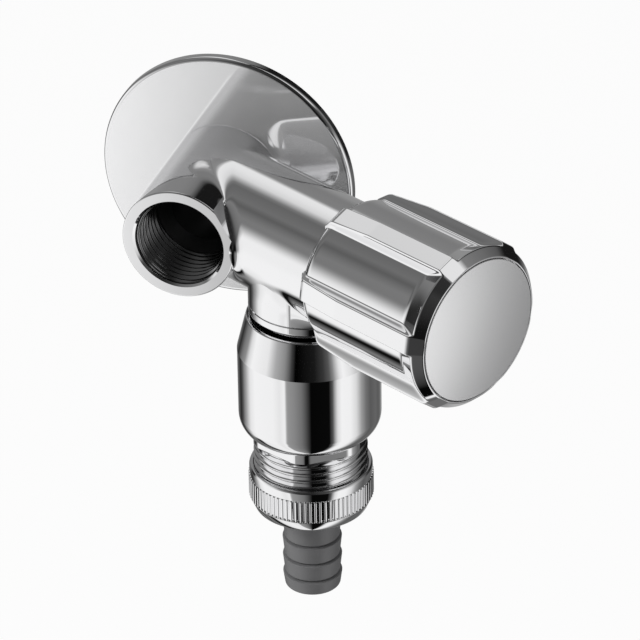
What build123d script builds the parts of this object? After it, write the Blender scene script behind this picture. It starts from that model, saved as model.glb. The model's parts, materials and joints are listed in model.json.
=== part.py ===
import math
import os
from build123d import *

os.makedirs("parts", exist_ok=True)

# Frame: the inlet axis meets the wall at the origin, the room is toward -Y, up is +Z.
# The side branch leaves the main tube level and turned toward the room.
BRANCH_TURN = 27.0
BRANCH_ROOT_Y = -13.1
OUTLET_ALONG = 31.5

# Main tube, inlet stub and front port.
SHOULDER_Y = -2.4
PORT_FACE_Y = -35.6
TUBE_R = 13.4
STUB_R = 10.3
STUB_LEN = 13.0
STUB_RELIEF_R = 9.6
STUB_RELIEF_LEN = 1.4
STUB_BORE_R = 7.5
PORT_THREAD_R = 10.48
PORT_MOUTH_R = 10.98
PORT_DEPTH = 14.0
PORT_FLAT_DIST = 11.8
PORT_FLAT_TURN = 30.0
PORT_FLAT_LEN = 8.0

# Side branch with the shut-off seat inside.
BRANCH_R = 14.5
BRANCH_ROOT_R = 13.2
BRANCH_ROOT_LEN = 10.0
BRANCH_END = 53.0
SEAT_AT = 17.0
SEAT_R = 5.5
SEAT_LIP_R = 7.0
SEAT_LIP_H = 1.0
CHAMBER_R = 10.4

# Outlet neck, with the spigot that carries the housing inside its vent ring.
NECK_R = 13.7
NECK_BOTTOM = -16.0
NECK_EDGE = 0.6
NECK_LINE_Z = -14.0
NECK_LINE_W = 0.4
NECK_LINE_DEEP = 0.3
HOUSING_LIP_R = 14.3
HOUSING_LIP_W = 0.9
VENT_W = 1.0
VENT_R = HOUSING_LIP_R - HOUSING_LIP_W
SPIGOT_R = VENT_R - VENT_W
SPIGOT_STEP_Z = -21.6
SPIGOT_THREAD_R = 11.5
SPIGOT_END_Z = -29.0
OUTLET_BORE_R = 6.5

# Wall rosette.
ROSETTE_R = 30.5
ROSETTE_HOLE_R = 10.8
ROSETTE_SHEET = 0.8
ROSETTE_ROUND = 1.2

# Headwork screwed into the branch, distances along the branch axis.
BONNET_IN = 36.0
BONNET_SLEEVE_R = 7.6
BONNET_WALL_AT = 50.0
BONNET_FLANGE_AT = 53.6
BONNET_FLANGE_END = 57.6
BONNET_HEX = 11.2
BONNET_NOSE_R = 7.5
BONNET_NOSE_END = 63.0
KEY_W = 2.4
KEY_GAP = 0.3
KEY_OUT_R = 8.6
KEY_SLOT_W = KEY_W + 2 * KEY_GAP
KEY_SLOT_R = KEY_OUT_R + KEY_GAP
GASKET_IN_R = 10.5
GASKET_OUT_R = 12.0

# Spindle.
SPINDLE_R = 4.0
SPINDLE_GAP = 0.05
BONNET_BORE_R = SPINDLE_R + SPINDLE_GAP
SPINDLE_TIP_AT = 32.0
SPINDLE_SCREW_R = 3.5
SPINDLE_COLLAR_AT = 47.3
SPINDLE_COLLAR_END = 49.8
SPINDLE_COLLAR_R = 5.5
SPINDLE_RING_AT = (54.5, 58.5)
RING_SECTION_R = 0.7
RING_GAP = 0.04
RING_FLOOR_R = BONNET_BORE_R - RING_GAP - 2 * RING_SECTION_R
RING_GROOVE_W = 1.8
CLIP_AT = 63.3
CLIP_T = 0.8
CLIP_GROOVE_R = 3.2
CLIP_R = 5.6
CLIP_GAP_W = 3.4
SPLINE_AT = 66.0
SPLINE_END = 76.0
SPLINE_R = 3.8
SPLINE_FLAT = 3.1
SPINDLE_HOLE_R = 1.5
SPINDLE_HOLE_DEEP = 9.0

# Plunger with its washer, shown shut.
WASHER_FACE_AT = 16.1
WASHER_T = 3.0
WASHER_GAP = 0.4
WASHER_R = SEAT_LIP_R - WASHER_GAP
WASHER_HOLE_R = 2.0
PLUNGER_HEAD_R = 8.2
PLUNGER_HEAD_T = 3.0
PLUNGER_GAP = 0.3
PLUNGER_R = BONNET_SLEEVE_R - PLUNGER_GAP
PLUNGER_END = 42.0
PLUNGER_SCREW_GAP = 0.1
PLUNGER_BORE_R = SPINDLE_SCREW_R + PLUNGER_SCREW_GAP
PLUNGER_BORE_AT = 27.0
WASHER_SCREW_R = 1.6
WASHER_SCREW_HEAD_R = 3.4
WASHER_SCREW_HEAD_T = 1.6
WASHER_SCREW_LEN = 7.0
SCREW_SLOT_W = 0.8

# Handle with six lobes.
HANDLE_CUP_GAP = 0.4
HANDLE_CUP_R = BRANCH_R + HANDLE_CUP_GAP
HANDLE_CUP_END = 72.0
HANDLE_WALL = 2.1
HANDLE_BACK_W = 1.7
LOBE_RISE = 2.9
HOLLOW_FLOOR = HANDLE_CUP_R + HANDLE_WALL
HANDLE_R = HOLLOW_FLOOR + LOBE_RISE
HANDLE_BACK_GAP = 0.2
HANDLE_BACK = OUTLET_ALONG + HOUSING_LIP_R + HANDLE_BACK_GAP
HANDLE_BACK_R = HANDLE_CUP_R + HANDLE_BACK_W
HANDLE_SWELL_LEN = 2.2
HANDLE_SWELL_DROP = 1.1
HANDLE_FULL_AT = 60.0
HANDLE_BEVEL_AT = 82.0
HANDLE_BEVEL_IN = 2.7
HANDLE_RIM_R = HANDLE_R - HANDLE_BEVEL_IN
HANDLE_RIM_W = 0.35
HANDLE_FRONT = 85.0
LOBES = 6
LOBE_AT = -22.0
LOBE_SPAN = 16.5
HOLLOW_SPAN = 360.0 / LOBES - LOBE_SPAN
HOLLOW_BACK_RIM = 2.0
HOLLOW_BACK_ROUND = 0.8
HOLLOW_END = 87.0
HOLLOW_ROUND = 10.0
HOLLOW_CLEAR = 1.0
HUB_R = 7.0
HUB_AT = 66.2
HUB_GAP = 0.1
HUB_BORE_R = SPLINE_R + HUB_GAP
HUB_BORE_END = 76.2
HANDLE_SCREW_HOLE_R = 2.0
HEAD_POCKET_R = 4.2
HEAD_POCKET_AT = 78.4
CAP_SEAT_R = HANDLE_RIM_R - HANDLE_RIM_W
CAP_SEAT_AT = 83.0

# Handle cap, a shallow dome snapped into the front.
CAP_GAP = 0.25
CAP_R = CAP_SEAT_R - CAP_GAP
CAP_RISE = 1.0
CAP_EDGE_AT = 85.1
CAP_PEG_R = 9.0
CAP_PEG_IN_R = 8.0
CAP_PEG_DEEP = 2.2
CAP_PEG_SLOT = 0.15
SCREW_HEAD_R = 3.6
SCREW_HEAD_T = 2.2
SCREW_LEN = 8.0

# Aerator housing under the neck.
HOUSING_TOP = -17.4
HOUSING_R = 16.47
HOUSING_CONE_Z = -26.2
HOUSING_BOTTOM = -48.2
HOUSING_ROUND = 5.2
VENT_FLOOR = -21.6
HOUSING_SHOULDER_Z = -29.5
CARTRIDGE_R = 10.0
CARTRIDGE_FLOOR = -45.0
COLLAR_FLATS = 12.3
COLLAR_R = 13.4
COLLAR_END = -50.6
COLLAR_TURN = 38.0
NIPPLE_R = 12.1
NIPPLE_END = -63.4
NIPPLE_BORE_R = 8.4
GASKET_LOW_IN_R = 9.0
VENT_LIP_T = 1.0

# Check valve cartridge.
CAGE_TOP = -29.7
CAGE_SEAT_Z = -32.2
CAGE_SEAT_R = 4.6
CAGE_IN_R = 8.6
CAGE_BAR_TOP = -43.4
CAGE_BAR_W = 2.4
CAGE_HUB_R = 3.4
POPPET_R = 6.4
POPPET_TOP = -32.5
POPPET_T = 2.2
POPPET_STEM_R = 1.5
POPPET_GUIDE_GAP = 0.1
CAGE_GUIDE_R = POPPET_STEM_R + POPPET_GUIDE_GAP
POPPET_STEM_END = -44.4
POPPET_NOSE_R = 3.6
POPPET_NOSE_T = 1.2
SEAL_T = 0.9
SEAL_FACE_Z = -32.25
SPRING_R = 2.7
SPRING_WIRE_R = 0.35
SPRING_TURNS = 5
SPRING_AIR = 0.05

# Union nut, washer and hose barb.
NUT_TOP = -57.0
NUT_THREAD_DEEP = 1.25
NUT_BORE_R = NIPPLE_R + NUT_THREAD_DEEP
NUT_WALL = 0.85
NUT_R = NUT_BORE_R + NUT_WALL
NUT_KNURL_RISE = 0.3
NUT_KNURL_R = NUT_R + NUT_KNURL_RISE
NUT_TAPER = 1.0
NUT_KNURL_TOP = -59.8
NUT_KNURL_BOTTOM = -65.2
NUT_BOTTOM = -68.0
NUT_LIP_TOP = -66.4
NUT_EDGE = 0.5
FLANGE_GAP = 0.55
FLANGE_R = NUT_BORE_R - FLANGE_GAP
HOSE_WASHER_EDGE = 0.2
HOSE_WASHER_R = FLANGE_R - HOSE_WASHER_EDGE
HOSE_WASHER_IN_R = 7.0
HOSE_WASHER_T = 1.4
FLANGE_T = 1.5
BARB_R = 6.95
BARB_LOW_R = 6.5
BARB_STEM_R = 7.4
NUT_EYE_GAP = 0.6
NUT_EYE_R = BARB_STEM_R + NUT_EYE_GAP
BARB_SHOULDERS = (-77.4, -82.3, -87.0)
BARB_END = -90.9
BARB_TIP_R = 5.4
BARB_BORE_R = 4.4
BARB_STEP = 0.35

# Directions worked out from the driving sizes.
TURN = math.radians(BRANCH_TURN)
ALONG = (math.cos(TURN), -math.sin(TURN), 0.0)
ROOT = (0.0, BRANCH_ROOT_Y, 0.0)
OUTLET = (OUTLET_ALONG * ALONG[0], BRANCH_ROOT_Y + OUTLET_ALONG * ALONG[1])
WALL_UP = (0.0, 0.0, 1.0)
BIG = 200.0
WALL = Plane(origin=(0, 0, 0), x_dir=(1, 0, 0), z_dir=(0, -1, 0))


def branch(t):
    """A plane square to the branch axis, t millimetres from the main axis."""
    spot = (ROOT[0] + ALONG[0] * t, ROOT[1] + ALONG[1] * t, 0.0)
    return Plane(origin=spot, x_dir=WALL_UP, z_dir=ALONG)


def level(z):
    """A level plane on the outlet axis at height z."""
    return Plane(origin=(OUTLET[0], OUTLET[1], z))


def rod(plane, radius, length, mode=Mode.ADD):
    """A round bar that starts on the plane and grows along its normal."""
    with BuildSketch(plane) as disc:
        Circle(radius)
    extrude(disc.sketch, amount=length, mode=mode)


def tube(plane, outer, inner, length, mode=Mode.ADD):
    """A round tube that starts on the plane and grows along its normal."""
    with BuildSketch(plane) as ring:
        Circle(outer)
        Circle(inner, mode=Mode.SUBTRACT)
    extrude(ring.sketch, amount=length, mode=mode)


def spun(origin, axis_dir, side_dir, points, mode=Mode.ADD):
    """A turned solid: the points are (radius, distance along the axis)."""
    normal = Vector(*side_dir).cross(Vector(*axis_dir))
    with BuildSketch(Plane(origin=origin, x_dir=side_dir, z_dir=tuple(normal))) as half:
        with BuildLine():
            Polyline(*points, close=True)
        make_face()
    revolve(half.sketch, axis=Axis(origin, axis_dir), revolution_arc=360, mode=mode)


def spun_branch(points, mode=Mode.ADD):
    """Turned about the branch axis, distances from the main axis."""
    spun(ROOT, ALONG, WALL_UP, points, mode)


def spun_outlet(points, mode=Mode.ADD):
    """Turned about the outlet axis, heights as the second value."""
    spun((OUTLET[0], OUTLET[1], 0.0), (0, 0, 1), (1, 0, 0), points, mode)


def save(builder, node):
    """Names the solid and writes its file."""
    builder.part.label = node
    export_step(builder.part, "parts/" + node + ".step")


# One forging: inlet stub, main tube, branch and outlet neck.
with BuildPart() as valve_body:
    rod(WALL.offset(-SHOULDER_Y), TUBE_R, SHOULDER_Y - PORT_FACE_Y)
    with BuildSketch(WALL.offset(-PORT_FACE_Y - PORT_FLAT_LEN)):
        with Locations(Rot(0, 0, PORT_FLAT_TURN) * Pos(PORT_FLAT_DIST + TUBE_R, 0)):
            Rectangle(2 * TUBE_R, 2 * TUBE_R)
    extrude(amount=PORT_FLAT_LEN, mode=Mode.SUBTRACT)
    branch_outline = (
        (0, 0),
        (BRANCH_ROOT_R, 0),
        (BRANCH_R, BRANCH_ROOT_LEN),
        (BRANCH_R, BRANCH_END),
        (0, BRANCH_END),
    )
    spun_branch(branch_outline)
    neck_outline = (
        (0, 0),
        (NECK_R, 0),
        (NECK_R, NECK_LINE_Z + NECK_LINE_W),
        (NECK_R - NECK_LINE_DEEP, NECK_LINE_Z + NECK_LINE_W / 2),
        (NECK_R, NECK_LINE_Z),
        (NECK_R, NECK_BOTTOM + NECK_EDGE),
        (NECK_R - NECK_EDGE, NECK_BOTTOM),
        (SPIGOT_R, NECK_BOTTOM),
        (SPIGOT_R, SPIGOT_STEP_Z),
        (SPIGOT_THREAD_R, SPIGOT_STEP_Z),
        (SPIGOT_THREAD_R, SPIGOT_END_Z),
        (0, SPIGOT_END_Z),
    )
    spun_outlet(neck_outline)
    with BuildSketch(WALL.offset(-SHOULDER_Y)):
        Rectangle(BIG, BIG)
    extrude(amount=-BIG, mode=Mode.SUBTRACT)
    rod(WALL.offset(-STUB_LEN), STUB_R, STUB_LEN - SHOULDER_Y - STUB_RELIEF_LEN)
    rod(WALL.offset(-STUB_LEN), STUB_RELIEF_R, STUB_LEN - SHOULDER_Y)
    rod(WALL.offset(-STUB_LEN), STUB_BORE_R, STUB_LEN - PORT_FACE_Y, Mode.SUBTRACT)
    port_outline = (
        (0, -PORT_FACE_Y - PORT_DEPTH - (PORT_THREAD_R - STUB_BORE_R)),
        (STUB_BORE_R, -PORT_FACE_Y - PORT_DEPTH - (PORT_THREAD_R - STUB_BORE_R)),
        (PORT_THREAD_R, -PORT_FACE_Y - PORT_DEPTH),
        (PORT_THREAD_R, -PORT_FACE_Y - (PORT_MOUTH_R - PORT_THREAD_R)),
        (PORT_MOUTH_R, -PORT_FACE_Y),
        (0, -PORT_FACE_Y),
    )
    spun((0, 0, 0), (0, -1, 0), (1, 0, 0), port_outline, Mode.SUBTRACT)
    rod(branch(0), SEAT_R, SEAT_AT, Mode.SUBTRACT)
    seat_outline = (
        (SEAT_R, SEAT_AT - SEAT_LIP_H),
        (SEAT_LIP_R, SEAT_AT - SEAT_LIP_H),
        (SEAT_LIP_R + SEAT_LIP_H, SEAT_AT + SEAT_LIP_H),
        (CHAMBER_R, SEAT_AT + SEAT_LIP_H),
        (CHAMBER_R, BRANCH_END),
        (0, BRANCH_END),
        (0, SEAT_AT - SEAT_LIP_H),
    )
    spun_branch(seat_outline, Mode.SUBTRACT)
    rod(level(0), OUTLET_BORE_R, SPIGOT_END_Z, Mode.SUBTRACT)
save(valve_body, "valve_body")

# Pressed rosette held between the body shoulder and the wall.
with BuildPart() as wall_rosette:
    rosette_outline = (
        (ROSETTE_HOLE_R, -SHOULDER_Y),
        (ROSETTE_R - ROSETTE_ROUND, -SHOULDER_Y),
        (ROSETTE_R, -SHOULDER_Y - ROSETTE_ROUND),
        (ROSETTE_R, 0),
        (ROSETTE_R - ROSETTE_SHEET, 0),
        (ROSETTE_R - ROSETTE_SHEET, -SHOULDER_Y - ROSETTE_ROUND),
        (ROSETTE_R - ROSETTE_SHEET - ROSETTE_ROUND / 2, -SHOULDER_Y - ROSETTE_SHEET),
        (ROSETTE_HOLE_R, -SHOULDER_Y - ROSETTE_SHEET),
    )
    spun((0, 0, 0), (0, -1, 0), (1, 0, 0), rosette_outline)
save(wall_rosette, "wall_rosette")

# Headwork: the bonnet guides the plunger and holds the spindle.
with BuildPart() as bonnet:
    rod(branch(BONNET_IN), CHAMBER_R, BONNET_FLANGE_AT - BONNET_IN)
    with BuildSketch(branch(BONNET_FLANGE_AT)):
        RegularPolygon(BONNET_HEX, 6, major_radius=False)
    extrude(amount=BONNET_FLANGE_END - BONNET_FLANGE_AT)
    rod(branch(BONNET_FLANGE_END), BONNET_NOSE_R, BONNET_NOSE_END - BONNET_FLANGE_END)
    rod(branch(BONNET_IN), BONNET_SLEEVE_R, BONNET_WALL_AT - BONNET_IN, Mode.SUBTRACT)
    rod(branch(BONNET_IN), BONNET_BORE_R, BONNET_NOSE_END - BONNET_IN, Mode.SUBTRACT)
    with BuildSketch(branch(BONNET_IN)):
        Rectangle(2 * KEY_SLOT_R, KEY_SLOT_W)
    extrude(amount=BONNET_WALL_AT - BONNET_IN, mode=Mode.SUBTRACT)
save(bonnet, "bonnet")

# Flat ring between the branch end and the bonnet flange.
with BuildPart() as bonnet_gasket:
    tube(branch(BRANCH_END), GASKET_OUT_R, GASKET_IN_R, BONNET_FLANGE_AT - BRANCH_END)
save(bonnet_gasket, "bonnet_gasket")

# Spindle: coarse screw at the inner end, collar, ring grooves, flats for the handle.
with BuildPart() as spindle:
    spindle_outline = (
        (0, SPINDLE_TIP_AT),
        (SPINDLE_SCREW_R, SPINDLE_TIP_AT),
        (SPINDLE_SCREW_R, SPINDLE_COLLAR_AT),
        (SPINDLE_COLLAR_R, SPINDLE_COLLAR_AT),
        (SPINDLE_COLLAR_R, SPINDLE_COLLAR_END),
        (SPINDLE_R, SPINDLE_COLLAR_END),
        (SPINDLE_R, CLIP_AT),
        (CLIP_GROOVE_R, CLIP_AT),
        (CLIP_GROOVE_R, CLIP_AT + CLIP_T),
        (SPINDLE_R, CLIP_AT + CLIP_T),
        (SPINDLE_R, SPLINE_AT),
        (SPLINE_R, SPLINE_AT),
        (SPLINE_R, SPLINE_END),
        (0, SPLINE_END),
    )
    spun_branch(spindle_outline)
    for groove_at in SPINDLE_RING_AT:
        groove_plane = branch(groove_at - RING_GROOVE_W / 2)
        tube(groove_plane, SPINDLE_R, RING_FLOOR_R, RING_GROOVE_W, Mode.SUBTRACT)
    for side in (-1, 1):
        with BuildSketch(branch(SPLINE_AT)):
            with Locations((side * (SPLINE_FLAT + SPLINE_R), 0)):
                Rectangle(2 * SPLINE_R, 4 * SPLINE_R)
        extrude(amount=SPLINE_END - SPLINE_AT, mode=Mode.SUBTRACT)
    rod(branch(SPLINE_END), SPINDLE_HOLE_R, -SPINDLE_HOLE_DEEP, Mode.SUBTRACT)
save(spindle, "spindle")

# Two rubber rings seal the spindle in the bonnet.
with BuildPart() as spindle_ring_inner:
    with BuildSketch(Plane(origin=branch(SPINDLE_RING_AT[0]).origin, x_dir=WALL_UP, z_dir=branch(0).y_dir)):
        with Locations((RING_FLOOR_R + RING_SECTION_R, 0)):
            Circle(RING_SECTION_R)
    revolve(axis=Axis(ROOT, ALONG), revolution_arc=360)
save(spindle_ring_inner, "spindle_ring_inner")

with BuildPart() as spindle_ring_outer:
    with BuildSketch(Plane(origin=branch(SPINDLE_RING_AT[1]).origin, x_dir=WALL_UP, z_dir=branch(0).y_dir)):
        with Locations((RING_FLOOR_R + RING_SECTION_R, 0)):
            Circle(RING_SECTION_R)
    revolve(axis=Axis(ROOT, ALONG), revolution_arc=360)
save(spindle_ring_outer, "spindle_ring_outer")

# Open clip that keeps the spindle from being pushed in.
with BuildPart() as spindle_clip:
    with BuildSketch(branch(CLIP_AT)):
        Circle(CLIP_R)
        Circle(CLIP_GROOVE_R, mode=Mode.SUBTRACT)
        with Locations((CLIP_R, 0)):
            Rectangle(2 * CLIP_R - CLIP_GROOVE_R, CLIP_GAP_W, mode=Mode.SUBTRACT)
    extrude(amount=CLIP_T)
save(spindle_clip, "spindle_clip")

# Plunger: slides along the branch without turning, keyed in the bonnet.
with BuildPart() as valve_plunger:
    plunger_at = WASHER_FACE_AT + WASHER_T
    rod(branch(plunger_at), PLUNGER_HEAD_R, PLUNGER_HEAD_T)
    rod(branch(plunger_at), PLUNGER_R, PLUNGER_END - plunger_at)
    with BuildSketch(branch(plunger_at + PLUNGER_HEAD_T)):
        Rectangle(2 * KEY_OUT_R, KEY_W)
    extrude(amount=PLUNGER_END - plunger_at - PLUNGER_HEAD_T)
    rod(branch(PLUNGER_BORE_AT), PLUNGER_BORE_R, PLUNGER_END - PLUNGER_BORE_AT, Mode.SUBTRACT)
    rod(branch(plunger_at), WASHER_SCREW_R, WASHER_SCREW_LEN - WASHER_T, Mode.SUBTRACT)
save(valve_plunger, "valve_plunger")

with BuildPart() as seat_washer:
    tube(branch(WASHER_FACE_AT), WASHER_R, WASHER_HOLE_R, WASHER_T)
save(seat_washer, "seat_washer")

with BuildPart() as washer_screw:
    rod(branch(WASHER_FACE_AT - WASHER_SCREW_HEAD_T), WASHER_SCREW_HEAD_R, WASHER_SCREW_HEAD_T)
    rod(branch(WASHER_FACE_AT), WASHER_SCREW_R, WASHER_SCREW_LEN)
    with BuildSketch(branch(WASHER_FACE_AT - WASHER_SCREW_HEAD_T)):
        Rectangle(2 * WASHER_SCREW_HEAD_R, SCREW_SLOT_W)
    extrude(amount=SCREW_SLOT_W, mode=Mode.SUBTRACT)
save(washer_screw, "washer_screw")

# Handle: turned blank, six long hollows with round floors that run out in a curve at the front.
with BuildPart() as handle:
    blank_outline = (
        (0, HANDLE_BACK),
        (HANDLE_BACK_R, HANDLE_BACK),
        (HANDLE_R - HANDLE_SWELL_DROP, HANDLE_BACK + HANDLE_SWELL_LEN),
        (HANDLE_R, HANDLE_FULL_AT),
        (HANDLE_R, HANDLE_BEVEL_AT),
        (HANDLE_RIM_R, HANDLE_FRONT),
        (0, HANDLE_FRONT),
    )
    spun_branch(blank_outline)
    hollow_base = branch(HANDLE_BACK + HOLLOW_BACK_RIM)
    hollow_len = HOLLOW_END - HANDLE_BACK - HOLLOW_BACK_RIM
    hollow_out = HOLLOW_FLOOR + HOLLOW_ROUND + HOLLOW_CLEAR
    for lobe in range(LOBES):
        lobe_side = math.radians(LOBE_AT - LOBE_SPAN / 2 + lobe * 360.0 / LOBES)
        spoke = hollow_base.x_dir * math.cos(lobe_side) - hollow_base.y_dir * math.sin(lobe_side)
        hollow_plane = Plane(origin=hollow_base.origin, x_dir=spoke, z_dir=spoke.cross(Vector(*ALONG)))
        with BuildSketch(hollow_plane) as hollow_half:
            with BuildLine():
                Polyline(
                    (HOLLOW_FLOOR, 0),
                    (hollow_out, 0),
                    (hollow_out, hollow_len),
                    (HOLLOW_FLOOR, hollow_len),
                    close=True,
                )
            make_face()
            floor_corners = hollow_half.vertices().sort_by(Axis.X)[:2].sort_by(Axis.Y)
            fillet(floor_corners[-1], HOLLOW_ROUND)
            fillet(floor_corners[0], HOLLOW_BACK_ROUND)
        revolve(axis=Axis(hollow_base.origin, ALONG), revolution_arc=HOLLOW_SPAN, mode=Mode.SUBTRACT)
    rod(branch(HANDLE_BACK), HANDLE_CUP_R, HUB_AT - HANDLE_BACK, Mode.SUBTRACT)
    tube(branch(HUB_AT), HANDLE_CUP_R, HUB_R, HANDLE_CUP_END - HUB_AT, Mode.SUBTRACT)
    with BuildSketch(branch(HUB_AT)):
        Circle(HUB_BORE_R)
        Rectangle(2 * SPLINE_FLAT, 2 * HUB_R, mode=Mode.INTERSECT)
    extrude(amount=HUB_BORE_END - HUB_AT, mode=Mode.SUBTRACT)
    rod(branch(HUB_AT), HANDLE_SCREW_HOLE_R, HANDLE_FRONT - HUB_AT, Mode.SUBTRACT)
    rod(branch(HEAD_POCKET_AT), HEAD_POCKET_R, HANDLE_FRONT - HEAD_POCKET_AT, Mode.SUBTRACT)
    rod(branch(CAP_SEAT_AT), CAP_SEAT_R, HANDLE_FRONT - CAP_SEAT_AT, Mode.SUBTRACT)
    tube(branch(CAP_SEAT_AT), CAP_PEG_R, CAP_PEG_IN_R, -CAP_PEG_DEEP, Mode.SUBTRACT)
save(handle, "handle")

# Cap: a plain shallow dome with a ring that snaps into the handle.
with BuildPart() as handle_cap:
    dome_r = (CAP_R**2 + CAP_RISE**2) / (2 * CAP_RISE)
    with BuildSketch(Plane(origin=ROOT, x_dir=WALL_UP, z_dir=branch(0).y_dir * -1)):
        with BuildLine():
            Polyline((0, CAP_EDGE_AT + CAP_RISE), (0, CAP_SEAT_AT), (CAP_R, CAP_SEAT_AT), (CAP_R, CAP_EDGE_AT))
            RadiusArc((CAP_R, CAP_EDGE_AT), (0, CAP_EDGE_AT + CAP_RISE), -dome_r)
        make_face()
    revolve(axis=Axis(ROOT, ALONG), revolution_arc=360)
    ring_out = CAP_PEG_R - CAP_PEG_SLOT
    ring_in = CAP_PEG_IN_R + CAP_PEG_SLOT
    tube(branch(CAP_SEAT_AT), ring_out, ring_in, CAP_PEG_SLOT - CAP_PEG_DEEP)
save(handle_cap, "handle_cap")

with BuildPart() as handle_screw:
    rod(branch(HEAD_POCKET_AT), SCREW_HEAD_R, SCREW_HEAD_T)
    rod(branch(HEAD_POCKET_AT), SPINDLE_HOLE_R, -SCREW_LEN)
    with BuildSketch(branch(HEAD_POCKET_AT + SCREW_HEAD_T)):
        Rectangle(2 * SCREW_HEAD_R, SCREW_SLOT_W)
    extrude(amount=-SCREW_SLOT_W, mode=Mode.SUBTRACT)
save(handle_screw, "handle_screw")

# Aerator housing with the open vent ring on top and the threaded nipple below.
with BuildPart() as aerator_housing:
    housing_outline = (
        (0, HOUSING_TOP),
        (HOUSING_LIP_R, HOUSING_TOP),
        (HOUSING_R, HOUSING_CONE_Z),
        (HOUSING_R, HOUSING_BOTTOM),
        (0, HOUSING_BOTTOM),
    )
    spun_outlet(housing_outline)
    fillet(aerator_housing.edges().group_by(Axis.Z)[0], HOUSING_ROUND)
    rod(level(NIPPLE_END), NIPPLE_R, HOUSING_BOTTOM - NIPPLE_END)
    collar_top = HOUSING_BOTTOM + HOUSING_ROUND / 2
    with BuildSketch(level(collar_top)):
        Circle(COLLAR_R)
        RegularPolygon(COLLAR_FLATS, 6, major_radius=False, rotation=COLLAR_TURN, mode=Mode.INTERSECT)
    extrude(amount=COLLAR_END - collar_top)
    rod(level(VENT_FLOOR), VENT_R, HOUSING_TOP - VENT_FLOOR, Mode.SUBTRACT)
    rod(level(HOUSING_SHOULDER_Z), SPIGOT_THREAD_R, HOUSING_TOP - HOUSING_SHOULDER_Z, Mode.SUBTRACT)
    rod(level(CARTRIDGE_FLOOR), CARTRIDGE_R, HOUSING_TOP - CARTRIDGE_FLOOR, Mode.SUBTRACT)
    rod(level(NIPPLE_END), NIPPLE_BORE_R, HOUSING_TOP - NIPPLE_END, Mode.SUBTRACT)
save(aerator_housing, "aerator_housing")

with BuildPart() as housing_gasket:
    gasket_t = SPIGOT_END_Z - HOUSING_SHOULDER_Z
    tube(level(HOUSING_SHOULDER_Z), SPIGOT_THREAD_R, GASKET_LOW_IN_R, gasket_t)
save(housing_gasket, "housing_gasket")

# Soft lip that lies at the bottom of the vent ring.
with BuildPart() as vent_lip:
    tube(level(VENT_FLOOR), VENT_R, SPIGOT_R, VENT_LIP_T)
save(vent_lip, "vent_lip")

# Check valve: cage, sprung poppet and its seal.
with BuildPart() as check_cage:
    tube(level(CARTRIDGE_FLOOR), CARTRIDGE_R, CAGE_IN_R, CAGE_TOP - CARTRIDGE_FLOOR)
    tube(level(CAGE_SEAT_Z), CARTRIDGE_R, CAGE_SEAT_R, CAGE_TOP - CAGE_SEAT_Z)
    with BuildSketch(level(CARTRIDGE_FLOOR)):
        Rectangle(2 * CAGE_IN_R, CAGE_BAR_W)
        Rectangle(CAGE_BAR_W, 2 * CAGE_IN_R)
        Circle(CAGE_HUB_R)
    extrude(amount=CAGE_BAR_TOP - CARTRIDGE_FLOOR)
    rod(level(CARTRIDGE_FLOOR), CAGE_GUIDE_R, CAGE_BAR_TOP - CARTRIDGE_FLOOR, Mode.SUBTRACT)
save(check_cage, "check_cage")

with BuildPart() as check_poppet:
    poppet_outline = (
        (0, POPPET_TOP + POPPET_NOSE_T),
        (POPPET_NOSE_R, POPPET_TOP + POPPET_NOSE_T),
        (POPPET_NOSE_R, SEAL_FACE_Z - SEAL_T),
        (POPPET_R, SEAL_FACE_Z - SEAL_T),
        (POPPET_R, POPPET_TOP - POPPET_T),
        (POPPET_STEM_R, POPPET_TOP - POPPET_T),
        (POPPET_STEM_R, POPPET_STEM_END),
        (0, POPPET_STEM_END),
    )
    spun_outlet(poppet_outline)
save(check_poppet, "check_poppet")

with BuildPart() as check_seal:
    tube(level(SEAL_FACE_Z - SEAL_T), POPPET_R, POPPET_NOSE_R, SEAL_T)
save(check_seal, "check_seal")

with BuildPart() as check_spring:
    spring_top = POPPET_TOP - POPPET_T - SPRING_WIRE_R - SPRING_AIR
    spring_low = CAGE_BAR_TOP + SPRING_WIRE_R + SPRING_AIR
    spring_len = spring_top - spring_low
    with BuildLine() as coil:
        Helix(spring_len / SPRING_TURNS, spring_len, SPRING_R, center=(OUTLET[0], OUTLET[1], spring_low))
    with BuildSketch(Plane(origin=coil.line @ 0, z_dir=coil.line % 0)):
        RegularPolygon(SPRING_WIRE_R, 6)
    sweep(path=coil.line, is_frenet=True)
save(check_spring, "check_spring")

# Union nut with a plain band where the knurl is cut later.
with BuildPart() as union_nut:
    nut_outline = (
        (NUT_BORE_R, NUT_TOP),
        (NUT_R - NUT_EDGE / 2, NUT_TOP),
        (NUT_R, NUT_TOP - NUT_EDGE),
        (NUT_R, NUT_KNURL_TOP),
        (NUT_KNURL_R, NUT_KNURL_TOP),
        (NUT_KNURL_R, NUT_KNURL_BOTTOM),
        (NUT_R, NUT_KNURL_BOTTOM),
        (NUT_R - NUT_TAPER, NUT_BOTTOM),
        (NUT_EYE_R, NUT_BOTTOM),
        (NUT_EYE_R, NUT_LIP_TOP),
        (NUT_BORE_R, NUT_LIP_TOP),
    )
    spun_outlet(nut_outline)
save(union_nut, "union_nut")

with BuildPart() as hose_washer:
    tube(level(NIPPLE_END), HOSE_WASHER_R, HOSE_WASHER_IN_R, -HOSE_WASHER_T)
save(hose_washer, "hose_washer")

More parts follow.
